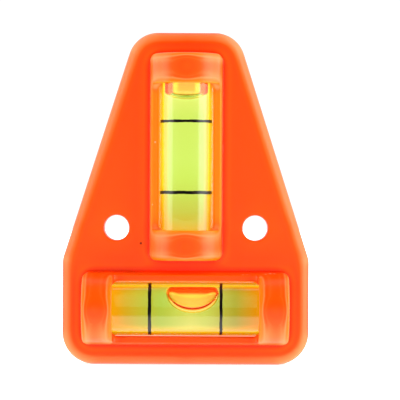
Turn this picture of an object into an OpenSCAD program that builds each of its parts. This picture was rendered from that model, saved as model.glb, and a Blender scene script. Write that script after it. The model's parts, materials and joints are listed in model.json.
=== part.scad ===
// Screw-on cross spirit level: a moulded plate with one lying and one standing vial.
// Drawn upright, as it hangs on a wall: +X right, +Z up, the mounting face in the plane y = 0
// and the front towards -Y. The origin is midway between the two screw holes on that face.

/* [Plate] */
// Depth of the plate from the mounting face to its flat front
plate_depth = 6; // [5:0.1:6.6]
// Thickness of the front panel
panel_thickness = 2; // [1.2:0.1:3]
// Thickness of the rim wall round the open back
rim_wall = 2; // [1.2:0.1:3]
// Radius of the rounded front edge
edge_radius = 2.2; // [0.5:0.1:3]
// Radius of the two lower corners
foot_corner_radius = 6.4; // [4:0.1:9]
// Radius of the two shoulders
shoulder_radius = 4; // [3.5:0.1:6]
// Radius of the two upper corners
crest_corner_radius = 6; // [4:0.1:8]
// Space between the lower edge of the plate and the horizontal housing
foot_margin = 4.1; // [3:0.1:8]
// Space between the ends of the horizontal housing and the sides of the plate
side_margin = 4.15; // [3:0.05:8]
// Space between the vertical housing and the upper edge of the plate
crest_margin = 4.45; // [3:0.05:8]
// Space beside the vertical housing along the upper edge, before the corners are rounded
crest_side_margin = 2.9; // [2:0.1:6]
// Height of the shoulders above the horizontal housing
shoulder_rise = 2.5; // [1:0.1:5]
// Space between the two housings
housing_space = 2.45; // [1.5:0.05:6]

/* [Screw holes] */
// Diameter of the screw holes
hole_diameter = 5; // [3:0.1:6]
// Distance between the screw holes
hole_spacing = 27.5; // [25:0.5:31]
// Height of the screw holes above the horizontal housing
hole_rise = 8.8; // [7:0.1:14]
// Thickness of the boss round each screw hole
boss_wall = 1.8; // [1:0.1:2.2]
// Thickness of the ribs in the open back
rib_thickness = 1.4; // [0.8:0.1:2.5]

/* [Housings] */
// Clearance round a vial in its housing
vial_gap = 0.1; // [0.05:0.01:0.3]
// Clearance at each end of a vial
vial_end_gap = 0.25; // [0.1:0.05:0.6]
// Thickness of a housing's roof and side walls
housing_wall = 1.7; // [1.2:0.1:2.5]
// Thickness of a housing's end walls
housing_end_wall = 1.6; // [1.2:0.1:3]
// Radius of the four upright corners of a housing
housing_corner_radius = 1.4; // [0.5:0.1:3]
// Length of the window between the two arches
window_length = 28.8; // [20:0.1:31]
// Height of the side rails above the axis of the vial
rail_height = 2.2; // [1:0.1:3.5]
// Radius of the window's corners, where the rails meet the arches
window_radius = 1.2; // [0.3:0.1:2]
// Thickness of the floor behind a vial
floor_thickness = 1.4; // [0.8:0.1:2.8]

/* [Vials] */
// Outer diameter of a vial
vial_diameter = 10.7; // [10:0.1:12]
// Length of a vial
vial_length = 37; // [34:0.5:42]
// Chamfer at both ends of a vial
vial_chamfer = 0.3; // [0.1:0.05:0.6]
// Diameter of the bore at its ends
bore_diameter = 6.4; // [4.5:0.1:7]
// How much the radius of the bore grows towards its middle, which sends the bubble there
bore_swell = 0.1; // [0.05:0.01:0.3]
// Thickness of the closed end of a vial
closed_end = 2.1; // [1.5:0.1:4]
// Diameter of the plug's flange
plug_diameter = 7.5; // [7.4:0.1:8.5]
// Thickness of the plug's flange
plug_flange = 1.3; // [0.8:0.1:2]
// Length of the plug's spigot in the bore
plug_spigot = 0.8; // [0.5:0.1:2]
// Clearance round the plug
plug_gap = 0.03; // [0.01:0.01:0.06]

/* [Spirit and bubbles] */
// Space between the spirit and the wall of the bore
spirit_gap = 0.02; // [0.01:0.01:0.05]
// Clearance round the bubbles
bubble_gap = 0.1; // [0.06:0.01:0.15]
// Length of the lying bubble
lying_length = 10.5; // [6:0.1:14]
// Depth of the lying bubble
lying_depth = 3.9; // [1.5:0.1:4.5]
// Distance of the lying bubble to the right of its middle position
lying_shift = 1.4; // [-5:0.1:5]
// Length of the standing bubble at the wall of the bore
standing_length = 3.4; // [2:0.05:8]
// Depth of the standing bubble's round lower end
standing_depth = 1.6; // [0.4:0.05:2]

/* [Graduation lines] */
// Distance between the two lines of a vial
line_spacing = 14; // [12:0.1:20]
// Width of a line
line_width = 0.6; // [0.3:0.05:1]
// Thickness of the ink
line_thickness = 0.08; // [0.04:0.01:0.09]
// Share of the circumference that a line covers, in degrees
line_angle = 142; // [60:1:170]

/* [Hidden] */

curve_fn = 96;
edge_steps = 8;
bore_steps = 16;

orange = [0.98, 0.31, 0.08];
clear = [0.93, 0.97, 0.85, 0.35];
lime = [0.72, 0.90, 0.25, 0.6];
air = [0.97, 0.98, 1.0, 0.4];
black = [0.05, 0.05, 0.05];

vial_radius = vial_diameter / 2;
pocket_radius = vial_radius + vial_gap;
pocket_length = vial_length + 2 * vial_end_gap;
housing_radius = pocket_radius + housing_wall;
housing_length = pocket_length + 2 * housing_end_wall;
axis_depth = floor_thickness + vial_gap + vial_radius;
boss_radius = hole_diameter / 2 + boss_wall;

// Heights in the plane of the plate, from the line through the screw holes
horizontal_axis = -hole_rise - housing_radius;
foot_edge = horizontal_axis - housing_radius - foot_margin;
shoulder_line = -hole_rise + shoulder_rise;
vertical_foot = -hole_rise + housing_space;
vertical_middle = vertical_foot + housing_length / 2;
crest_edge = vertical_foot + housing_length + crest_margin;

half_width = housing_length / 2 + side_margin;
half_crest = housing_radius + crest_side_margin;

bore_radius = bore_diameter / 2;
bore_start = -vial_length / 2 + plug_flange + plug_spigot;
bore_end = vial_length / 2 - closed_end;
bubble_radius = bore_radius - bubble_gap;

function arc_sphere(half_chord, depth) = (half_chord * half_chord + depth * depth) / (2 * depth);

lying_sphere = arc_sphere(lying_length / 2, lying_depth);
standing_sphere = arc_sphere(bubble_radius, standing_depth);

// Outline of the plate, anticlockwise from the lower left corner, each corner with its radius
outline = [
    [-half_width, foot_edge, foot_corner_radius],
    [half_width, foot_edge, foot_corner_radius],
    [half_width, shoulder_line, shoulder_radius],
    [half_crest, crest_edge, crest_corner_radius],
    [-half_crest, crest_edge, crest_corner_radius],
    [-half_width, shoulder_line, shoulder_radius]
];

function flat(p) = [p[0], p[1]];
function inward(a, b) = let (d = flat(b) - flat(a)) [-d[1], d[0]] / norm(d);
function round_centre(i) =
    let (
        n = len(outline),
        before = outline[(i + n - 1) % n],
        corner = outline[i],
        after = outline[(i + 1) % n],
        first = inward(before, corner),
        second = inward(corner, after)
    )
    flat(corner) + corner[2] * (first + second) / (1 + first * second);

// Stands what is drawn flat on its back upright, with its front towards -Y
module upright() {
    rotate([90, 0, 0]) children();
}

module at_horizontal_vial() {
    upright() translate([0, horizontal_axis, axis_depth]) children();
}

module at_vertical_vial() {
    upright() translate([0, vertical_middle, axis_depth]) rotate([0, 0, 90]) children();
}

// A body of revolution about the vial's axis, from [radius, place along the vial] points
module turned(points) {
    rotate([0, 90, 0]) rotate_extrude($fn = curve_fn) polygon(points);
}

module rod(radius, start, end) {
    translate([start, 0, 0]) rotate([0, 90, 0]) cylinder(r = radius, h = end - start, $fn = curve_fn);
}

// One rounded corner of the plate, with a quarter round along its front edge
module corner_puck(radius) {
    edge = [
        for (i = [0 : edge_steps])
            let (a = 90 * i / edge_steps)
            [radius - edge_radius * (1 - cos(a)), plate_depth - edge_radius * (1 - sin(a))]
    ];
    rotate_extrude($fn = curve_fn) polygon(concat([[0, 0], [radius, 0]], edge, [[0, plate_depth]]));
}

module plate() {
    hull() {
        for (i = [0 : len(outline) - 1]) translate(round_centre(i)) corner_puck(outline[i][2]);
    }
}

module recess() {
    translate([0, 0, -1]) linear_extrude(plate_depth - panel_thickness + 1) hull() {
        for (i = [0 : len(outline) - 1])
            translate(round_centre(i)) circle(r = outline[i][2] - rim_wall, $fn = curve_fn);
    }
}

module housing_outline() {
    x = housing_length / 2 - housing_corner_radius;
    y = housing_radius - housing_corner_radius;
    square([2 * x, 2 * housing_radius], center = true);
    square([housing_length, 2 * y], center = true);
    for (side = [-1, 1], end = [-1, 1])
        translate([end * x, side * y]) circle(r = housing_corner_radius, $fn = curve_fn);
}

// A housing drawn along X, with the mounting face at z = 0 and the vial's axis at axis_depth
module housing() {
    intersection() {
        linear_extrude(axis_depth + housing_radius + 1) housing_outline();
        union() {
            translate([0, 0, axis_depth]) rod(housing_radius, -housing_length / 2, housing_length / 2);
            translate([-housing_length / 2, -housing_radius, 0])
                cube([housing_length, 2 * housing_radius, axis_depth]);
        }
    }
}

// The space behind the window: its lower corners are round where the rails rise to the arches
module window() {
    x = window_length / 2 - window_radius;
    z = axis_depth + rail_height;
    reach = housing_radius + 1;
    translate([-window_length / 2, -reach, z + window_radius]) cube([window_length, 2 * reach, reach]);
    translate([-x, -reach, z]) cube([2 * x, 2 * reach, reach]);
    for (end = [-1, 1])
        translate([end * x, reach, z + window_radius]) rotate([90, 0, 0])
            cylinder(r = window_radius, h = 2 * reach, $fn = curve_fn);
}

// The pocket that holds a vial on its thin floor, and the opening over it
module pocket() {
    translate([0, 0, axis_depth]) rod(pocket_radius, -pocket_length / 2, pocket_length / 2);
    translate([-pocket_length / 2, -pocket_radius, floor_thickness])
        cube([pocket_length, 2 * pocket_radius, axis_depth - floor_thickness]);
    x = window_length / 2 - window_radius;
    y = pocket_radius - window_radius;
    translate([0, 0, axis_depth]) linear_extrude(housing_radius) hull() {
        for (side = [-1, 1], end = [-1, 1])
            translate([end * x, side * y]) circle(r = window_radius, $fn = curve_fn);
    }
}

module both_housings() {
    translate([0, horizontal_axis, 0]) children();
    translate([0, vertical_middle, 0]) rotate([0, 0, 90]) children();
}

module both_holes() {
    for (side = [-1, 1]) translate([side * hole_spacing / 2, 0, 0]) children();
}

// Ribs that tie the bosses to the rim and to the vertical housing, and the housings to the rim
module ribs() {
    translate([-half_width, -rib_thickness / 2, 0]) cube([2 * half_width, rib_thickness, plate_depth]);
    translate([-rib_thickness / 2, foot_edge, 0])
        cube([rib_thickness, crest_edge - foot_edge, plate_depth]);
}

module body() {
    color(orange) upright() {
        difference() {
            union() {
                difference() {
                    plate();
                    difference() {
                        recess();
                        ribs();
                    }
                }
                both_housings() housing();
                both_holes() cylinder(r = boss_radius, h = plate_depth - panel_thickness / 2, $fn = curve_fn);
            }
            both_housings() {
                pocket();
                window();
            }
            both_holes() translate([0, 0, -1])
                cylinder(d = hole_diameter, h = plate_depth + 2, $fn = curve_fn);
        }
    }
}

// The wall of the bore, a little wider in its middle, from its start to its end
function bore_wall(gap) = [
    for (i = [0 : bore_steps])
        let (t = 2 * i / bore_steps - 1)
        [
            bore_radius + bore_swell * (1 - t * t) - gap,
            (bore_end + bore_start) / 2 + t * ((bore_end - bore_start) / 2 - gap)
        ]
];

module barrel() {
    back = -vial_length / 2;
    front = vial_length / 2;
    seat = plug_diameter / 2;
    color(clear) turned(concat(
        [
            [0, front],
            [vial_radius - vial_chamfer, front],
            [vial_radius, front - vial_chamfer],
            [vial_radius, back + vial_chamfer],
            [vial_radius - vial_chamfer, back],
            [seat, back],
            [seat, back + plug_flange],
            [bore_radius, back + plug_flange]
        ],
        bore_wall(0),
        [[0, bore_end]]
    ));
}

module plug() {
    back = -vial_length / 2;
    color(clear) {
        rod(plug_diameter / 2 - plug_gap, back, back + plug_flange);
        rod(bore_radius - plug_gap, back + plug_flange, bore_start);
    }
}

// The spirit fills the bore outside a sphere that leaves room for the bubble
module spirit(sphere_radius, sphere_centre) {
    ends = [for (p = bore_wall(spirit_gap)) p[1]];
    color(lime) difference() {
        turned(concat([[0, ends[0]]], bore_wall(spirit_gap), [[0, ends[bore_steps]]]));
        translate(sphere_centre) sphere(r = sphere_radius + bubble_gap / 2, $fn = curve_fn);
    }
}

module bubble(sphere_radius, sphere_centre, start, end) {
    color(air) intersection() {
        rod(bubble_radius, start, end);
        translate(sphere_centre) sphere(r = sphere_radius, $fn = curve_fn);
    }
}

lying_centre = [lying_shift, bubble_radius - lying_depth + lying_sphere, 0];
standing_foot = bore_end - bubble_gap - standing_length - standing_depth;
standing_centre = [standing_foot + standing_sphere, 0, 0];

// A printed line on the front of a vial
module line(place) {
    color(black) translate([place - line_width / 2, 0, 0]) rotate([0, 90, 0])
        rotate([0, 0, 180 - line_angle / 2])
            rotate_extrude(angle = line_angle, $fn = curve_fn)
                translate([vial_radius, 0]) square([line_thickness, line_width]);
}

module horizontal_vial_barrel() {
    at_horizontal_vial() barrel();
}

module horizontal_vial_plug() {
    at_horizontal_vial() plug();
}

module horizontal_vial_spirit() {
    at_horizontal_vial() spirit(lying_sphere, lying_centre);
}

module horizontal_vial_bubble() {
    at_horizontal_vial()
        bubble(lying_sphere, lying_centre, lying_shift - lying_length / 2, lying_shift + lying_length / 2);
}

module horizontal_vial_left_line() {
    at_horizontal_vial() line(-line_spacing / 2);
}

module horizontal_vial_right_line() {
    at_horizontal_vial() line(line_spacing / 2);
}

module vertical_vial_barrel() {
    at_vertical_vial() barrel();
}

module vertical_vial_plug() {
    at_vertical_vial() plug();
}

module vertical_vial_spirit() {
    at_vertical_vial() spirit(standing_sphere, standing_centre);
}

module vertical_vial_bubble() {
    at_vertical_vial()
        bubble(standing_sphere, standing_centre, standing_foot, bore_end - bubble_gap);
}

module vertical_vial_upper_line() {
    at_vertical_vial() line(line_spacing / 2);
}

module vertical_vial_lower_line() {
    at_vertical_vial() line(-line_spacing / 2);
}

body();
horizontal_vial_barrel();
horizontal_vial_plug();
horizontal_vial_spirit();
horizontal_vial_bubble();
horizontal_vial_left_line();
horizontal_vial_right_line();
vertical_vial_barrel();
vertical_vial_plug();
vertical_vial_spirit();
vertical_vial_bubble();
vertical_vial_upper_line();
vertical_vial_lower_line();
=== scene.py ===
import json
import math

import bpy
import numpy as np
import openvdb
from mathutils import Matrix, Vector


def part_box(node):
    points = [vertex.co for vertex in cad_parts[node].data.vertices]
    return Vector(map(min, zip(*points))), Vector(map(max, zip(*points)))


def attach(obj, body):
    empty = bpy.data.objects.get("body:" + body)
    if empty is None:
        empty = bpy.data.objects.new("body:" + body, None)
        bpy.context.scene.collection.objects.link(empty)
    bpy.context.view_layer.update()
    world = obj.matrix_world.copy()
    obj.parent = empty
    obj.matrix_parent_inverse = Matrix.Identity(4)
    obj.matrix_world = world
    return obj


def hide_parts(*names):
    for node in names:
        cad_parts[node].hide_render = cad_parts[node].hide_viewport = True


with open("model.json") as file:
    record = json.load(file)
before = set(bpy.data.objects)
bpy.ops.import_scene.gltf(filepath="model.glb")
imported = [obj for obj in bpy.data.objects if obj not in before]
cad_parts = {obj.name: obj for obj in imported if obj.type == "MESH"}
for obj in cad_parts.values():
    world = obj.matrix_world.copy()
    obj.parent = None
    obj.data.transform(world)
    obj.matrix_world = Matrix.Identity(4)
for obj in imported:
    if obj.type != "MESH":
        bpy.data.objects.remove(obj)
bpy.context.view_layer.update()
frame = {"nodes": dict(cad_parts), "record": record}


# The moulding is one shot of satin orange plastic: a plate with a rounded front edge, two troughs
# with an arch over both ends of each vial, and a hollow back with two screw bosses and two ribs. It
# is modelled as a distance field in millimetres, which gives every edge its mould's radius.
MM = 0.001
body_low, body_high = (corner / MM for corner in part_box("body"))
lying_low, lying_high = (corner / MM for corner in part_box("horizontal_vial_barrel"))
standing_low, standing_high = (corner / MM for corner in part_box("vertical_vial_barrel"))
lying_axis = (lying_low + lying_high) / 2
standing_axis = (standing_low + standing_high) / 2
holes = {mount["name"]: mount for mount in frame["record"]["mounts"]}
hole_x = holes["right_screw_hole"]["pos_m"][0] / MM
hole_radius = holes["right_screw_hole"]["dims"]["r_mm"]

plate_depth = 6.0
panel = 2.0
rim_wall = 2.0
rib = 1.4
boss_radius = 4.3
shoulder_z, half_crest = -6.3, 10.05
foot_corner, shoulder_corner, crest_corner = 6.4, 4.0, 6.0
front_edge = 2.2
back_edge = 0.25
crease = 0.3
outline_steps = 1440
# The grid's step, how far its thickness is averaged, and how flat the mesh takes a surface to be
pitch = 0.14
thickness_reach = 1.0
moulding_flatness = 0.003

vial_radius = (standing_high.x - standing_low.x) / 2
vial_length = standing_high.z - standing_low.z
axis_depth = -standing_axis.y
vial_gap, vial_end_gap = 0.1, 0.25
housing_wall, housing_end_wall = 1.7, 1.6
pocket_radius = vial_radius + vial_gap
pocket_half = vial_length / 2 + vial_end_gap
housing_radius = pocket_radius + housing_wall
housing_half = pocket_half + housing_end_wall
housing_corner = 1.4
floor_depth = 1.4
rail_rise = 2.2
rail_depth = axis_depth + rail_rise
window_half = 14.4
window_corner, opening_corner = 1.2, 1.2
arch_edge, window_edge = 0.55, 0.22


def meet(a, b, radius):
    """What lies inside both a and b, with a rounded edge where they cross."""
    edge = np.hypot(np.maximum(a + radius, 0), np.maximum(b + radius, 0))
    return np.minimum(np.maximum(a, b), -radius) + edge


def join(a, b, radius):
    """What lies inside a or b, with a fillet where they cross."""
    return -meet(-a, -b, radius)


def cut(a, b, radius):
    """What lies inside a and outside b, with a rounded edge where they cross."""
    return meet(a, -b, radius)


def rounded_outline(x, z, corners):
    """Distance to a convex outline, from [x, z, radius] corners in anticlockwise order."""
    discs = []
    for i, (cx, cz, radius) in enumerate(corners):
        before, after = corners[i - 1], corners[(i + 1) % len(corners)]
        first = np.array([before[1] - cz, cx - before[0]])
        second = np.array([cz - after[1], after[0] - cx])
        first, second = first / np.hypot(*first), second / np.hypot(*second)
        centre = np.array([cx, cz]) + radius * (first + second) / (1 + first @ second)
        discs.append((*centre, radius))
    distance = np.full(np.broadcast(x, z).shape, -np.inf, np.float32)
    for angle in np.linspace(0, 2 * np.pi, outline_steps, endpoint=False):
        nx, nz = math.cos(angle), math.sin(angle)
        reach = max(cx * nx + cz * nz + radius for cx, cz, radius in discs)
        np.maximum(distance, (x * nx + z * nz - reach).astype(np.float32), out=distance)
    return distance


def trough(along, across, depth):
    """Distances to a housing and to what is cut from it, drawn along its vial."""
    above = np.maximum(depth - axis_depth, 0)
    round_distance = np.hypot(across, above)
    plan = meet(np.abs(along) - housing_half, np.abs(across) - housing_radius, housing_corner)
    outside = meet(np.abs(along) - housing_half, round_distance - housing_radius, arch_edge)
    outside = np.maximum(outside, plan)
    window = meet(np.abs(along) - window_half, rail_depth - depth, window_corner)
    pocket = meet(round_distance - pocket_radius, np.abs(along) - pocket_half, window_edge)
    pocket = meet(pocket, floor_depth - depth, crease)
    opening = meet(np.abs(across) - pocket_radius, np.abs(along) - window_half, opening_corner)
    opening = np.maximum(opening, axis_depth - depth)
    return cut(outside, window, window_edge), np.minimum(pocket, opening)


def moulding_distance():
    """Distance to the moulding's surface, without its screw holes and with them."""
    margin = 4 * pitch
    x = np.arange(pitch / 2, body_high.x + margin, pitch, dtype=np.float32)[:, None, None]
    y = np.arange(body_low.y - margin, body_high.y + margin, pitch, dtype=np.float32)[None, :, None]
    z = np.arange(body_low.z - margin, body_high.z + margin, pitch, dtype=np.float32)[None, None, :]
    depth = -y
    corners = [
        (-body_high.x, body_low.z, foot_corner),
        (body_high.x, body_low.z, foot_corner),
        (body_high.x, shoulder_z, shoulder_corner),
        (half_crest, body_high.z, crest_corner),
        (-half_crest, body_high.z, crest_corner),
        (-body_high.x, shoulder_z, shoulder_corner),
    ]
    outline = rounded_outline(x, z, corners)
    slab = meet(outline, depth - plate_depth, front_edge)
    hollow = meet(outline + rim_wall, depth - (plate_depth - panel), crease)
    ribs = np.minimum(np.abs(z) - rib / 2, np.abs(x) - rib / 2)
    hollow = cut(hollow, ribs, crease)
    solid = cut(slab, hollow, back_edge)
    screw = np.hypot(x - hole_x, z)
    boss = np.maximum(screw - boss_radius, depth - plate_depth + panel / 2)
    solid = join(solid, boss, crease)
    lying = trough(x, z - lying_axis.z, depth)
    standing = trough(z - standing_axis.z, x, depth)
    for housing, _ in (lying, standing):
        solid = join(solid, housing, crease)
    solid = meet(solid, -depth, back_edge)
    for _, pocket in (lying, standing):
        solid = cut(solid, pocket, window_edge)
    drilled = cut(solid, screw - hole_radius, window_edge)
    # The grid covers the right half, which the left half mirrors
    whole, drilled = (np.concatenate([half[::-1], half]) for half in (solid, drilled))
    return whole, drilled, Vector((-x.max(), y.min(), z.min()))


def sampled(field, places):
    """Values of a grid at places between its points."""
    low = np.clip(np.floor(places).astype(int), 0, np.array(field.shape) - 2)
    share = (places - low).astype(np.float32)
    total = np.zeros(len(places), np.float32)
    for step in np.ndindex(2, 2, 2):
        weight = np.prod(np.where(step, share, 1 - share), axis=1)
        total += weight * field[tuple((low + step).T)]
    return total


def slopes(field, places):
    """Unit vectors that point away from the surface at places in a grid."""
    steps = []
    for axis in np.eye(3):
        steps.append(sampled(field, places + axis / 2) - sampled(field, places - axis / 2))
    steps = np.stack(steps, axis=1)
    return steps / np.linalg.norm(steps, axis=1, keepdims=True)


def skin(name, field, origin, flatness):
    """A mesh on the zero surface of a distance grid, with its exact normals."""
    band = 3 * pitch
    grid = openvdb.FloatGrid(band)
    grid.copyFromArray(np.clip(field, -band, band))
    places, triangles, quads = grid.convertToPolygons(isovalue=0, adaptivity=flatness)
    # Each round brings the points closer to the surface
    for _ in range(3):
        places = places - slopes(field, places) * (sampled(field, places) / pitch)[:, None]
    normals = slopes(field, places)
    mesh = bpy.data.meshes.new(name)
    points = (places * pitch + np.array(origin)) * MM
    mesh.from_pydata(points.tolist(), [], triangles.tolist() + quads.tolist())
    mesh.validate()
    mesh.shade_smooth()
    mesh.normals_split_custom_set_from_vertices(normals.tolist())
    return bpy.data.objects.new(name, mesh)


def softened(field, reach):
    """A grid with each value averaged with those around it, by three running means each way."""
    half = round(reach / pitch)
    for axis in range(3):
        field = np.moveaxis(field, axis, 0)
        for _ in range(3):
            padded = np.pad(field, [(half + 1, half), (0, 0), (0, 0)], mode="edge")
            total = np.cumsum(padded, axis=0, dtype=np.float64)
            width = 2 * half + 1
            field = ((total[width:] - total[:-width]) / width).astype(np.float32)
        field = np.moveaxis(field, 0, axis)
    return field


def marked(piece, name, field, origin):
    """Keeps a grid's values on a mesh's points, for its material."""
    points = np.empty(3 * len(piece.data.vertices), np.float32)
    piece.data.vertices.foreach_get("co", points)
    places = (points.reshape(-1, 3) / MM - np.array(origin)) / pitch
    mark = piece.data.attributes.new(name, "FLOAT", "POINT")
    mark.data.foreach_set("value", sampled(field, places))


def placed(piece, body, slot, *materials):
    """Puts a piece in the scene, on its body and with its materials."""
    bpy.context.scene.collection.objects.link(piece)
    for material in materials:
        piece.data.materials.append(material)
    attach(piece, body)
    return piece


class Value:
    """An output of a node in a shader, on which arithmetic adds further nodes."""

    def __init__(self, tree, socket):
        self.tree = tree
        self.socket = socket

    def node(self, kind, settings=None, inputs=None, output=0):
        """Adds a node, with its settings first and then values or links for its inputs."""
        node = self.tree.nodes.new(kind)
        for name, setting in (settings or {}).items():
            if name == "stops":
                ramp = node.color_ramp.elements
                for i, (place, colour) in enumerate(setting):
                    stop = ramp[i] if i < 2 else ramp.new(place)
                    stop.position = place
                    stop.color = colour
            else:
                setattr(node, name, setting)
        for name, value in (inputs or {}).items():
            if isinstance(value, Value):
                self.tree.links.new(value.socket, node.inputs[name])
            else:
                node.inputs[name].default_value = value
        return Value(self.tree, node.outputs[output])

    def maths(self, operation, *others):
        """Adds a Math node, with this value first."""
        inputs = dict(enumerate((self, *others)))
        return self.node("ShaderNodeMath", {"operation": operation}, inputs)

    def __add__(self, other):
        return self.maths("ADD", other)

    __radd__ = __add__

    def __sub__(self, other):
        return self.maths("SUBTRACT", other)

    def __rsub__(self, other):
        return self.node("ShaderNodeMath", {"operation": "SUBTRACT"}, {0: other, 1: self})

    def __mul__(self, other):
        return self.maths("MULTIPLY", other)

    __rmul__ = __mul__

    def __neg__(self):
        return self * -1

    def between(self, low, high):
        """0 below low, 1 above high and smooth between them."""
        limits = {"Value": self, "From Min": low, "From Max": high}
        return self.node("ShaderNodeMapRange", {"interpolation_type": "SMOOTHSTEP"}, limits)

    def mix(self, first, second):
        """The first colour where this is 0 and the second where it is 1."""
        return self.node(
            "ShaderNodeMix", {"data_type": "RGBA"}, {0: self, 6: first, 7: second}, output=2
        )

    def ramp(self, stops):
        """The colour at this value, from stops of a place and a colour each."""
        return self.node("ShaderNodeValToRGB", {"stops": stops}, {"Fac": self})

    def parts(self):
        """The x, y and z of this vector."""
        split = self.node("ShaderNodeSeparateXYZ", inputs={"Vector": self}).socket.node
        return [Value(self.tree, part) for part in split.outputs]

    def feed(self, socket):
        """Links this to a socket of a node that is there already."""
        self.tree.links.new(self.socket, socket)


def material(name):
    """A new material's Principled shader and the place on the surface, in metres."""
    made = bpy.data.materials.new(name)
    made.use_nodes = True
    tree = made.node_tree
    coordinates = tree.nodes.new("ShaderNodeTexCoord")
    return made, tree.nodes["Principled BSDF"], Value(tree, coordinates.outputs["Object"])


def noise(place, scale, detail=2.0):
    """Cloudy values from 0 to 1."""
    return place.node(
        "ShaderNodeTexNoise", inputs={"Vector": place, "Scale": scale, "Detail": detail}
    )


# Plastic by how thin it is, as painted light and shade: painted deep red-orange shade in the
# creases, and painted amber glow where light would come through
THINNESS_TO_PAINTED_LIGHT = [
    (0.35, (1.00, 0.026, 0.000, 1)),
    (0.46, (1.00, 0.096, 0.000, 1)),
    (0.535, (0.98, 0.066, 0.000, 1)),
    (0.576, (0.94, 0.081, 0.000, 1)),
    (0.60, (0.93, 0.150, 0.024, 1)),
    (0.64, (0.94, 0.262, 0.074, 1)),
    (0.70, (0.90, 0.170, 0.003, 1)),
    (0.76, (0.90, 0.220, 0.000, 1)),
]
# What is added to the thinness or taken from it: for unevenness; painted shade at the lying vial's
# rails; a painted highlight at the flanks of the arches and painted shade in their middle
flow_share = 0.02
lying_rail_shade = 0.18
arch_flank_highlight = 0.022
arch_middle_shade = 0.05
# How far from the middle an arch's flanks and the sides of a pocket's floor begin
arch_flank = (1.4, 5.6)
floor_side = (2.0, 3.4)
# The satin surface, with the fine grain of the mould, and matt lips along the windows
satin_roughness, grain_roughness, lip_roughness = 0.27, 0.06, 0.6
grain_scale, flow_scale = 9000.0, 60.0
grain_bump, grain_height = 0.25, 0.02 * MM
plastic_bend = 1.33
# Painted glow for the light inside the plastic, and inside the standing vial's rails
inner_glow = (0.12, 0.010, 0.00, 1)
rail_glow = (0.38, 0.018, 0.00, 1)
# Painted glow for the light that comes through the thin floor behind the standing vial: in its
# middle, at its lower and upper end, and along its sides. Then the same behind the lying vial
floor_glow = (0.98, 0.56, 0.012, 1)
floor_low_glow = (0.85, 0.21, 0.002, 1)
floor_high_glow = (1.00, 0.20, 0.006, 1)
floor_side_glow = (1.00, 0.93, 0.015, 1)
floor_low_side_glow = (1.00, 0.44, 0.005, 1)
floor_dim_glow = (0.62, 0.30, 0.000, 1)
floor_dim_side_glow = (1.00, 0.60, 0.005, 1)
# Heights between which the painted glow behind the standing vial grows, and then reddens
light_grows = (-1, 11)
light_reddens = (25.5, 29)
# Painted glow for the light inside the walls beside a vial, near the rails and further in: beside
# the standing vial, then above the lying one and below it
side_wall_glow = (0.70, 0.28, 0.01, 1)
side_wall_deep_glow = (0.60, 0.07, 0.00, 1)
upper_wall_glow = (0.85, 0.09, 0.00, 1)
upper_wall_deep_glow = (0.80, 0.05, 0.00, 1)
lower_wall_glow = (0.45, 0.00, 0.00, 1)
lower_wall_deep_glow = (1.00, 0.95, 0.60, 1)
# The height that parts the two troughs
parting_z = -8.0
# Specks on the plastic: where, their radius and their colour
SPECKS = [
    ((-8.9, -6.0, -3.1), 0.24, (0.10, 0.004, 0.0, 1)),
    ((-6.1, -9.05, 16.9), 0.16, (1.0, 0.50, 0.25, 1)),
    ((-6.6, -9.05, 4.6), 0.14, (1.0, 0.45, 0.20, 1)),
    ((11.3, -9.0, -8.95), 0.22, (1.0, 0.55, 0.30, 1)),
    ((12.1, -9.0, -8.95), 0.20, (1.0, 0.55, 0.30, 1)),
    ((15.8, -8.6, -8.95), 0.20, (1.0, 0.50, 0.25, 1)),
    ((16.7, -8.2, -8.95), 0.24, (1.0, 0.55, 0.30, 1)),
    ((17.5, -8.2, -9.0), 0.20, (1.0, 0.50, 0.25, 1)),
]


def millimetres(place):
    """The x, y and z of a place on a surface."""
    return [part * (1 / MM) for part in place.parts()]


def stands(z):
    """0 in the lying vial's trough and 1 in the standing vial's."""
    return z.between(parting_z - 1, parting_z + 1)


def trough_masks(along, across, depth):
    """Where a trough's floor, the floor's sides, its rails, arches, lips and walls are, 0 to 1."""
    # Each border is soft between the two places that it is given
    along = along.maths("ABSOLUTE")
    across = across.maths("ABSOLUTE")
    pocket = 1 - along.between(pocket_half - 0.2, pocket_half)
    floor = pocket * (1 - across.between(pocket_radius - 0.2, pocket_radius))
    floor = floor * depth.between(floor_depth / 2 - 0.2, floor_depth / 2 + 0.2)
    floor = floor * (1 - depth.between(floor_depth + 0.2, floor_depth + 0.4))
    housing = 1 - across.between(housing_radius, housing_radius + 0.3)
    rails = housing * (1 - along.between(window_half - 0.5, window_half + 0.5))
    arches = housing * along.between(window_half - 0.3, window_half + 0.3)
    arches = arches * (1 - along.between(housing_half, housing_half + 0.3))
    lips = 1 - across.between(pocket_radius + 0.25, pocket_radius + 0.5)
    walls = pocket * (1 - across.between(pocket_radius + 0.05, pocket_radius + 0.15))
    walls = walls * depth.between(floor_depth + 0.2, floor_depth + 0.6)
    return {
        "floor": floor,
        "sides": floor * across.between(*floor_side),
        "rails": rails * depth.between(plate_depth + 0.3, plate_depth + 1.5),
        "arches": arches * depth.between(plate_depth, plate_depth + 1),
        "lips": lips * (1 - along.between(window_half - 0.5, window_half)),
        "walls": walls * (1 - depth.between(rail_depth - 0.3, rail_depth)),
    }


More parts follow.
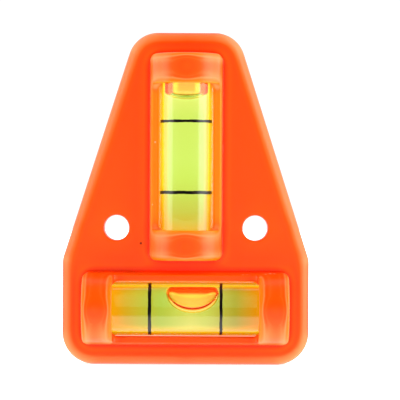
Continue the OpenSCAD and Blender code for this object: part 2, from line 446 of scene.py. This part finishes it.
def plastic_colour(place, x, z, lying, standing):
    """The plastic's colour by how thin it is, with painted light and shade, and its specks."""
    thinness = place.node("ShaderNodeAttribute", {"attribute_name": "thinness"}, output=2)
    flow = noise(place, flow_scale, 3.0)
    thinness = thinness - lying_rail_shade * lying["rails"] + flow_share * (flow - 0.5)
    # Painted highlight at the arches' flanks, the lying vial's only below, and painted shade
    # elsewhere
    thick = 1 - thinness.between(0.59, 0.63)
    thin = thinness.between(0.58, 0.62) * (1 - thinness.between(0.64, 0.68))
    for trough, flank in ((lying, lying_axis.z - z), (standing, x.maths("ABSOLUTE"))):
        flank = flank.between(*arch_flank)
        change = arch_flank_highlight * flank * thick - arch_middle_shade * (1 - flank) * thin
        thinness = thinness + trough["arches"] * change
    colour = thinness.ramp(THINNESS_TO_PAINTED_LIGHT)
    for spot, radius, speck in SPECKS:
        centre = [side * MM for side in spot]
        away = place.node(
            "ShaderNodeVectorMath", {"operation": "DISTANCE"}, {0: place, 1: centre}, output=1
        )
        colour = away.between(0.7 * radius * MM, 1.3 * radius * MM).mix(speck, colour)
    return colour


def plastic_light(z, depth, lying, standing):
    """Painted glow for light the plastic passes on from inside, at its walls, floors and elsewhere.
    """
    deep = 1 - depth.between(axis_depth - 0.8, axis_depth)
    upper = z.between(lying_axis.z - 1, lying_axis.z + 1)
    lying_walls = upper.mix(
        deep.mix(lower_wall_glow, lower_wall_deep_glow),
        deep.mix(upper_wall_glow, upper_wall_deep_glow),
    )
    standing_walls = deep.mix(side_wall_glow, side_wall_deep_glow)
    upright = stands(z)
    walls = upright.mix(lying_walls, standing_walls)
    sides = lying["sides"] + standing["sides"]
    middle = z.between(*light_grows).mix(floor_low_glow, floor_glow)
    middle = z.between(*light_reddens).mix(middle, floor_high_glow)
    beside = z.between(*light_grows).mix(floor_low_side_glow, floor_side_glow)
    lying_floor = sides.mix(floor_dim_glow, floor_dim_side_glow)
    floors = upright.mix(lying_floor, sides.mix(middle, beside))
    light = standing["rails"].mix(inner_glow, rail_glow)
    light = (lying["walls"] + standing["walls"]).mix(light, walls)
    return (lying["floor"] + standing["floor"]).mix(light, floors)


def orange_plastic():
    """Satin orange plastic, with painted glow and colour where light would come through thin parts.
    """
    made, shader, place = material("orange_plastic")
    x, y, z = millimetres(place)
    depth = -y
    lying = trough_masks(x, z - lying_axis.z, depth)
    standing = trough_masks(z - standing_axis.z, x, depth)
    floors = lying["floor"] + standing["floor"]
    colour = plastic_colour(place, x, z, lying, standing)
    # The floors are black under their painted glow, so that only the glow shows
    floors.mix(colour, (0, 0, 0, 1)).feed(shader.inputs["Base Color"])
    plastic_light(z, depth, lying, standing).feed(shader.inputs["Emission Color"])
    shader.inputs["Emission Strength"].default_value = 1.0
    grain = noise(place, grain_scale, 1.0)
    lips = lying["lips"] + standing["lips"]
    roughness = satin_roughness + grain_roughness * grain + lip_roughness * lips
    roughness.feed(shader.inputs["Roughness"])
    bump = {"Strength": grain_bump, "Distance": grain_height, "Height": grain}
    place.node("ShaderNodeBump", inputs=bump).feed(shader.inputs["Normal"])
    shader.inputs["IOR"].default_value = plastic_bend
    return made


whole, field, field_origin = moulding_distance()
moulding = skin("moulding", field, field_origin, moulding_flatness)
filled = np.clip(0.5 - whole / pitch, 0, 1).astype(np.float32)
marked(moulding, "thinness", 1 - softened(filled, thickness_reach), field_origin)
placed(moulding, "level", "orange_plastic", orange_plastic())
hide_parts("body")


# Each vial's barrel is a block of clear acrylic turned to 10.7 mm, with a bore from one end that
# swells towards its middle, so that the bubble comes to rest there. Spirit wets the bore's wall,
# so the wall bends light less than the outside does.
bore_radius = 3.2
bore_swell = 0.1
closed_end = 2.1
plug_flange = 1.3
plug_spigot = 0.8
plug_seat = 3.75
barrel_chamfer = 0.3
sharp_edge = math.radians(30)
acrylic_bend = 1.49
spirit_bend = 1.36
turn_steps = 192
bore_start = -vial_length / 2 + plug_flange + plug_spigot
bore_end = vial_length / 2 - closed_end

# Each vial's axis, and where its length, width and front are in the frame
VIALS = {
    "horizontal": (lying_axis, lambda along, across, out: (along, -out, across)),
    "vertical": (standing_axis, lambda along, across, out: (-across, -out, along)),
}


def bore_at(along):
    """The bore's radius at a place along the vial."""
    middle = (bore_start + bore_end) / 2
    share = (along - middle) / ((bore_end - bore_start) / 2)
    return bore_radius + bore_swell * (1 - share * share)


def bore_profile(gap, steps=32):
    """Points along the bore's wall, or a gap inside it."""
    places = np.linspace(bore_start + gap, bore_end - gap, steps + 1)
    return [(bore_at(place) - gap, place) for place in places]


def turned(name, vial, profile, slots=None):
    """A body of revolution about a vial's axis, from (radius, place along the vial) points."""
    axis, stand = VIALS[vial]
    points, faces, marks, rings = [], [], [], []
    for radius, along in profile:
        ring = []
        count = turn_steps if radius > 0 else 1
        for i in range(count):
            angle = 2 * math.pi * i / turn_steps
            across, out = radius * math.cos(angle), radius * math.sin(angle)
            ring.append(len(points))
            points.append((Vector(stand(along, across, out)) + axis) * MM)
        rings.append(ring)
    for k, (low, high) in enumerate(zip(rings, rings[1:])):
        for i in range(turn_steps):
            j = (i + 1) % turn_steps
            if len(low) == 1:
                face = (low[0], high[j], high[i])
            elif len(high) == 1:
                face = (low[i], low[j], high[0])
            else:
                face = (low[i], low[j], high[j], high[i])
            faces.append(face[::-1])
            marks.append(slots[k] if slots else 0)
    mesh = bpy.data.meshes.new(name)
    mesh.from_pydata(points, [], faces)
    mesh.polygons.foreach_set("material_index", marks)
    mesh.shade_smooth()
    return bpy.data.objects.new(name, mesh)


def glassy(name, bend):
    """A clear material that bends light."""
    made, shader, place = material(name)
    shader.inputs["Base Color"].default_value = (1, 1, 1, 1)
    shader.inputs["Transmission Weight"].default_value = 1.0
    shader.inputs["Roughness"].default_value = 0.0
    shader.inputs["IOR"].default_value = bend
    return made, shader, place


acrylic, _, _ = glassy("clear_acrylic", acrylic_bend)
wetted, _, _ = glassy("wetted_bore", acrylic_bend / spirit_bend)

for vial in VIALS:
    back, front = -vial_length / 2, vial_length / 2
    outside = [
        (0, front),
        (vial_radius - barrel_chamfer, front),
        (vial_radius, front - barrel_chamfer),
        (vial_radius, back + barrel_chamfer),
        (vial_radius - barrel_chamfer, back),
        (plug_seat, back),
        (plug_seat, back + plug_flange),
    ]
    bore = bore_profile(0)
    profile = outside + bore + [(0, bore_end)]
    slots = [0] * len(outside) + [1] * len(bore)
    barrel = turned(vial + "_barrel", vial, profile, slots)
    barrel.data.set_sharp_from_angle(angle=sharp_edge)
    placed(barrel, "level", "clear_acrylic", acrylic, wetted)
    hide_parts(vial + "_vial_barrel")


# The plug that closes each bore is a small acrylic stopper, pressed in and welded. It keeps its CAD
# solid, with the barrel's clear acrylic.
for vial in VIALS:
    plug = frame["nodes"][vial + "_vial_plug"]
    plug.data.materials.clear()
    plug.data.materials.append(acrylic)


# The bubbles are air with a skin of spirit all round: the one that lies is flattened underneath,
# and the one that stands fills the bore, with a round lower end. The spirit leaves them room.
bubble_gap = 0.04
bubble_radius = bore_radius - bubble_gap
bubble_film = 0.015
lying_bubble_length, lying_bubble_depth, lying_bubble_x = 10.5, 3.9, 1.4
lying_bubble_girth = 3.4
lying_bubble_rise = 0.08
lying_bubble_droop = 0.05
lying_bubble_sink = 0.9
lying_bubble_edge = 0.8
lying_bubble_margin, lying_bubble_flatness = 1.0, 0.0005
standing_bubble_length, standing_bubble_depth = 3.4, 1.6
crown_height, crown_bend = 0.4, 0.3
bubble_steps = 48
bubble_painted_warmth = (1.0, 0.72, 0.47, 1)


def lying_bubble(name, grow):
    """An egg of air under the top of the bore, which flattens it."""
    radius = bubble_radius + grow
    half_depth = lying_bubble_depth - lying_bubble_sink
    half = Vector((lying_bubble_length / 2, lying_bubble_girth, half_depth))
    half = half + Vector((grow, grow, grow))
    reaches = (side + lying_bubble_margin for side in (half.x, radius, radius))
    spans = [np.arange(-reach, reach, pitch) for reach in reaches]
    x = spans[0][:, None, None].astype(np.float32)
    y = spans[1][None, :, None].astype(np.float32)
    z = spans[2][None, None, :].astype(np.float32)
    pipe = np.hypot(y, z) - radius + lying_bubble_droop * (x / half.x) ** 2
    sunk = z - (bubble_radius - lying_bubble_sink)
    reach = np.sqrt((x / half.x) ** 2 + (y / half.y) ** 2 + (sunk / half.z) ** 2)
    slope = np.sqrt((x / half.x ** 2) ** 2 + (y / half.y ** 2) ** 2 + (sunk / half.z ** 2) ** 2)
    egg = reach * (reach - 1) / np.maximum(slope, 0.01)
    origin = lying_axis + Vector((lying_bubble_x + x.min(), y.min(), z.min() + lying_bubble_rise))
    field = meet(pipe, egg, lying_bubble_edge + grow)
    return skin(name, field, origin, lying_bubble_flatness)


def standing_bubble(name, grow):
    """Air that fills the top of the bore, with a round lower end."""
    radius = bubble_radius + grow
    top = bore_end - bubble_gap + grow
    rim = top - standing_bubble_length - grow
    angles = np.linspace(0, math.pi / 2, bubble_steps + 1)
    crown = [
        (radius * math.sin(a) ** crown_bend, top - crown_height + crown_height * math.cos(a))
        for a in angles
    ]
    dome = [
        (radius * math.cos(a), rim - (standing_bubble_depth + grow) * math.sin(a)) for a in angles
    ]
    crown[0] = (0, top)
    dome[-1] = (0, dome[-1][1])
    return turned(name, "vertical", crown + dome)


def air():
    """Air in spirit, tinted amber as painted light from the warm plastic around it."""
    made, shader, _ = material("air")
    tree = made.node_tree
    glass = tree.nodes.new("ShaderNodeBsdfGlass")
    glass.inputs["Roughness"].default_value = 0.0
    glass.inputs["IOR"].default_value = 1 / spirit_bend
    glass.inputs["Color"].default_value = bubble_painted_warmth
    tree.links.new(glass.outputs[0], tree.nodes["Material Output"].inputs["Surface"])
    tree.nodes.remove(shader)
    return made


air_material = air()
BUBBLES = {
    "horizontal": (lying_bubble, "lying_bubble"),
    "vertical": (standing_bubble, "standing_bubble"),
}
rooms = {}
for vial, (shape, body) in BUBBLES.items():
    bubble = placed(shape(vial + "_bubble", 0), body, "air", air_material)
    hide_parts(vial + "_vial_bubble")
    room = shape(vial + "_room", bubble_film)
    bpy.context.scene.collection.objects.link(room)
    room.hide_render = True
    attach(room, body)
    rooms[vial] = room


# The spirit is a thin alcohol with a lime dye. It is poured in before the plug closes the bore, and
# fills it up to the bubble, wherever that slides.
spirit_gap = 0.01
# The dye's colour and strength, its tint in the middle, and amber painted at the flanks for the
# plastic's light
dye_absorbs, dye_strength = (0.78, 0.89, 0.18, 1), 110.0
middle_tint = (0.24, 1, 1, 1)
flank_painted_amber = (0.60, 0.42, 0.05, 1)
# Where the spirit's painted glow shows and where it tints, from the front of the bore at -1 to its
# back at 1
painted_glow_depths = (-0.2, 0.6)
middle_tints = (0.5, 0.8)
painted_amber_flanks, flanks_end = (-0.6, -0.1), (0.0, 0.3)
# How far inside the bore a surface is still its wall: the spirit's is, and the bubble's isn't
wall_end = (0.014, 0.02)
# Painted glow along each vial, from its left or lower end, in millimetres: lime in the middle,
# amber to red at the ends where the housing's light and shade fall, and brighter under the lying
# bubble
LYING_PAINTED_GLOW = [
    (-13.8, (0.80, 0.11, 0.00, 1)),
    (-11.9, (0.57, 0.16, 0.02, 1)),
    (-8.9, (0.40, 0.26, 0.05, 1)),
    (-4.9, (0.29, 0.35, 0.09, 1)),
    (1.0, (0.58, 0.47, 0.18, 1)),
    (4.0, (0.47, 0.42, 0.15, 1)),
    (9.9, (0.26, 0.13, 0.04, 1)),
    (14.0, (0.68, 0.03, 0.00, 1)),
]
STANDING_PAINTED_GLOW = [
    (-14.0, (0.60, 0.32, 0.06, 1)),
    (-12.4, (0.43, 0.37, 0.09, 1)),
    (-10.9, (0.35, 0.40, 0.12, 1)),
    (-7.7, (0.32, 0.41, 0.16, 1)),
    (-0.6, (0.38, 0.48, 0.24, 1)),
    (8.1, (0.37, 0.44, 0.22, 1)),
    (11.3, (0.50, 0.48, 0.28, 1)),
    (12.0, (0.58, 0.51, 0.30, 1)),
    (13.5, (0.66, 0.45, 0.20, 1)),
]


def along_ramp(along, stops):
    """A colour at each place along a vial, from stops in millimetres."""
    share = (along + vial_length / 2) * (1 / vial_length)
    return share.ramp([(place / vial_length + 0.5, colour) for place, colour in stops])


def spirit_material():
    """Spirit with a lime dye, and a painted glow for the light that it scatters and that reaches
    it.
    """
    made, shader, place = glassy("lime_spirit", 1.0)
    tree = made.node_tree
    x, y, z = millimetres(place)
    upright = stands(z)
    glow = upright.mix(
        along_ramp(x, LYING_PAINTED_GLOW), along_ramp(z - standing_axis.z, STANDING_PAINTED_GLOW)
    )
    behind = (y + axis_depth) * (1 / bore_radius)
    behind.between(*painted_glow_depths).mix((0, 0, 0, 1), glow).feed(shader.inputs["Emission Color"])
    shader.inputs["Emission Strength"].default_value = 1.0
    # The dye takes red from light crossing it in the middle; the flanks get a painted amber for the
    # plastic's light.
    # That is tinted where the light crosses the bore's wall, and not at the bubble
    lies = 1 - upright
    along = x * lies + (z - standing_axis.z) * upright - (bore_start + bore_end) / 2
    along = along * (2 / (bore_end - bore_start))
    across = (z - lying_axis.z) * lies + x * upright
    reach = (across * across + (y + axis_depth) * (y + axis_depth)).maths("SQRT")
    inside = bore_radius + bore_swell - bore_swell * along * along - reach
    wall = 1 - inside.between(*wall_end)
    flank = behind.between(*painted_amber_flanks) * (1 - behind.between(*flanks_end))
    tint = behind.between(*middle_tints).mix((1, 1, 1, 1), middle_tint)
    tint = wall.mix((1, 1, 1, 1), flank.mix(tint, flank_painted_amber))
    tint.feed(shader.inputs["Base Color"])
    absorb = tree.nodes.new("ShaderNodeVolumeAbsorption")
    absorb.inputs["Color"].default_value = dye_absorbs
    absorb.inputs["Density"].default_value = dye_strength
    tree.links.new(absorb.outputs[0], tree.nodes["Material Output"].inputs["Volume"])
    return made


lime = spirit_material()
for vial in VIALS:
    wall = bore_profile(spirit_gap)
    profile = [(0, wall[-1][1])] + wall[::-1] + [(0, wall[0][1])]
    spirit = turned(vial + "_spirit", vial, profile)
    spirit.data.set_sharp_from_angle(angle=sharp_edge)
    placed(spirit, "level", "lime_spirit", lime)
    hollow = spirit.modifiers.new("room for the bubble", "BOOLEAN")
    hollow.operation = "DIFFERENCE"
    hollow.object = rooms[vial]
    hollow.solver = "MANIFOLD"
    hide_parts(vial + "_vial_spirit")


# The graduation lines are black ink, pad-printed round the front of the barrels. The print is a
# little ragged, and thins out brown where it runs off towards the sides.
ink_skin = 0.03
ink_lift = 0.005
cad_ink_skin = 0.08
ink_steps = 72
ink_black, ink_brown = (0.003, 0.003, 0.002, 1), (0.10, 0.035, 0.004, 1)
ink_roughness = 0.3
ink_edge = math.radians(50)
# Where the ink thins out towards the sides, from the vial's axis, and how worn it is there and in
# spots
ink_thins = (-2.6, -1.6)
end_wear, spot_wear = 0.6, 0.25
wave_height, ripple_height = 0.025, 0.015
# How wide each line is
LINES = {
    "horizontal_left": 0.66,
    "horizontal_right": 0.58,
    "vertical_upper": 0.54,
    "vertical_lower": 0.64,
}


def ink():
    """Black ink that is worn brown at the ends of the lines and in spots."""
    made, shader, place = material("black_ink")
    behind = place.parts()[1] * (1 / MM) + axis_depth
    spots = noise(place, 1500.0).between(0.5, 0.8)
    worn = behind.between(*ink_thins) * end_wear + spot_wear * spots
    worn.mix(ink_black, ink_brown).feed(shader.inputs["Base Color"])
    shader.inputs["Roughness"].default_value = ink_roughness
    return made


def printed_line(name, vial, low, high, place, width, phase):
    """A ragged band of ink on a barrel, from one end of its arc to the other."""
    axis, stand = VIALS[vial]
    span = low.x if vial == "vertical" else low.z - axis.z
    reach = math.asin(min(1, -span / (vial_radius + cad_ink_skin)))
    points, faces = [], []
    for i in range(ink_steps + 1):
        angle = reach * (2 * i / ink_steps - 1)
        edges = []
        for side in (-1, 1):
            wave = wave_height * math.sin(9 * angle + phase * side)
            ripple = ripple_height * math.sin(31 * angle + 3 * phase)
            edges.append(place + side * width / 2 + (wave + ripple))
        for radius in (vial_radius + ink_lift, vial_radius + ink_skin):
            for edge in edges:
                spot = stand(edge, radius * math.sin(angle), radius * math.cos(angle))
                points.append((Vector(spot) + axis) * MM)
    ring = (0, 1, 3, 2)
    for i in range(ink_steps):
        for k in range(4):
            a, b = ring[k], ring[(k + 1) % 4]
            faces.append((4 * i + a, 4 * i + b, 4 * i + 4 + b, 4 * i + 4 + a))
    faces.append(tuple(ring[::-1]))
    faces.append(tuple(4 * ink_steps + k for k in ring))
    mesh = bpy.data.meshes.new(name)
    mesh.from_pydata(points, [], faces)
    mesh.shade_smooth()
    mesh.set_sharp_from_angle(angle=ink_edge)
    return bpy.data.objects.new(name, mesh)


black = ink()
for phase, (name, width) in enumerate(LINES.items()):
    vial, which = name.split("_")
    node = vial + "_vial_" + which + "_line"
    low, high = (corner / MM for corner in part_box(node))
    middle = (low + high) / 2 - VIALS[vial][0]
    place = middle.x if vial == "horizontal" else middle.z
    line = printed_line(name + "_line", vial, low, high, place, width, 1 + 1.7 * phase)
    placed(line, "level", "black_ink", black)
    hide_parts(node)


# The level stands on a plain white table in front of a white surround, with a large soft light on
# each side and the dark room behind the camera, which shows only in reflections.
camera_target = Vector((2.78, 0, 5.54)) * MM
camera_distance = 450 * MM
camera_roll = math.radians(-0.27)
# The picture is this wide in a plane this far in front of the mounting face
frame_width, frame_plane = 79.82 * MM, 3 * MM
table_half = 2.0
table_white, table_roughness, table_glow = (0.93, 0.93, 0.93, 1), 0.9, 0.8
light_bounces = 32

table_mesh = bpy.data.meshes.new("floor")
foot = body_low.z * MM
table_corners = [(-1, -1), (1, -1), (1, 1), (-1, 1)]
table_mesh.from_pydata(
    [(x * table_half, y * table_half, foot) for x, y in table_corners], [], [(0, 1, 2, 3)]
)
table = bpy.data.objects.new("floor", table_mesh)
bpy.context.scene.collection.objects.link(table)
table.visible_glossy = False
white, white_shader, _ = material("white_table")
white_shader.inputs["Base Color"].default_value = table_white
white_shader.inputs["Roughness"].default_value = table_roughness
white_shader.inputs["Emission Color"].default_value = (1, 1, 1, 1)
white_shader.inputs["Emission Strength"].default_value = table_glow
table_mesh.materials.append(white)

camera_data = bpy.data.cameras.new("camera")
camera_data.sensor_width = 36
camera_data.lens = camera_data.sensor_width * (camera_distance - frame_plane) / frame_width
camera_data.clip_start = 0.01
camera_data.clip_end = 10
camera = bpy.data.objects.new("camera", camera_data)
camera.location = camera_target + Vector((0, -camera_distance, 0))
camera.rotation_euler = (math.radians(90), camera_roll, 0)
bpy.context.scene.collection.objects.link(camera)
bpy.context.scene.camera = camera

# The surround's brightness, and panels in it: azimuth and elevation ranges in degrees, from the
# camera's side, and how bright each is
surround_bright = 1.35
PANELS = [
    ((-180, 180), (46, 90), 1.5),
    ((-180, 180), (-90, -30), 2.6),
    ((-70, 52), (-30, 90), 0.05),
    ((92, 135), (-35, 65), 1.9),
    ((-135, -86), (-35, 65), 1.9),
    ((56, 94), (-35, 65), 5.2),
    ((-86, -60), (-35, 65), 4.1),
]
panel_blur = 6.0


def surround():
    """A plain bright surround with the panels in it."""
    world = bpy.data.worlds.new("white_surround")
    world.use_nodes = True
    tree = world.node_tree
    tree.nodes.clear()
    x, y, z = Value(tree, tree.nodes.new("ShaderNodeTexCoord").outputs["Generated"]).parts()
    azimuth = x.maths("ARCTAN2", -y).maths("DEGREES")
    elevation = z.maths("ARCSINE").maths("DEGREES")
    bright = surround_bright
    for (left, right), (low, high), panel_bright in PANELS:
        inside = azimuth.between(left - panel_blur, left + panel_blur)
        inside = inside * (1 - azimuth.between(right - panel_blur, right + panel_blur))
        inside = inside * elevation.between(low - panel_blur, low + panel_blur)
        inside = inside * (1 - elevation.between(high - panel_blur, high + panel_blur))
        bright = bright * (1 - inside) + inside * panel_bright
    lamp = tree.nodes.new("ShaderNodeBackground")
    bright.feed(lamp.inputs["Strength"])
    out = tree.nodes.new("ShaderNodeOutputWorld")
    tree.links.new(lamp.outputs[0], out.inputs["Surface"])
    return world


bpy.context.scene.world = surround()
bpy.context.scene.view_settings.view_transform = "Standard"
bpy.context.scene.cycles.max_bounces = light_bounces
bpy.context.scene.cycles.transmission_bounces = light_bounces
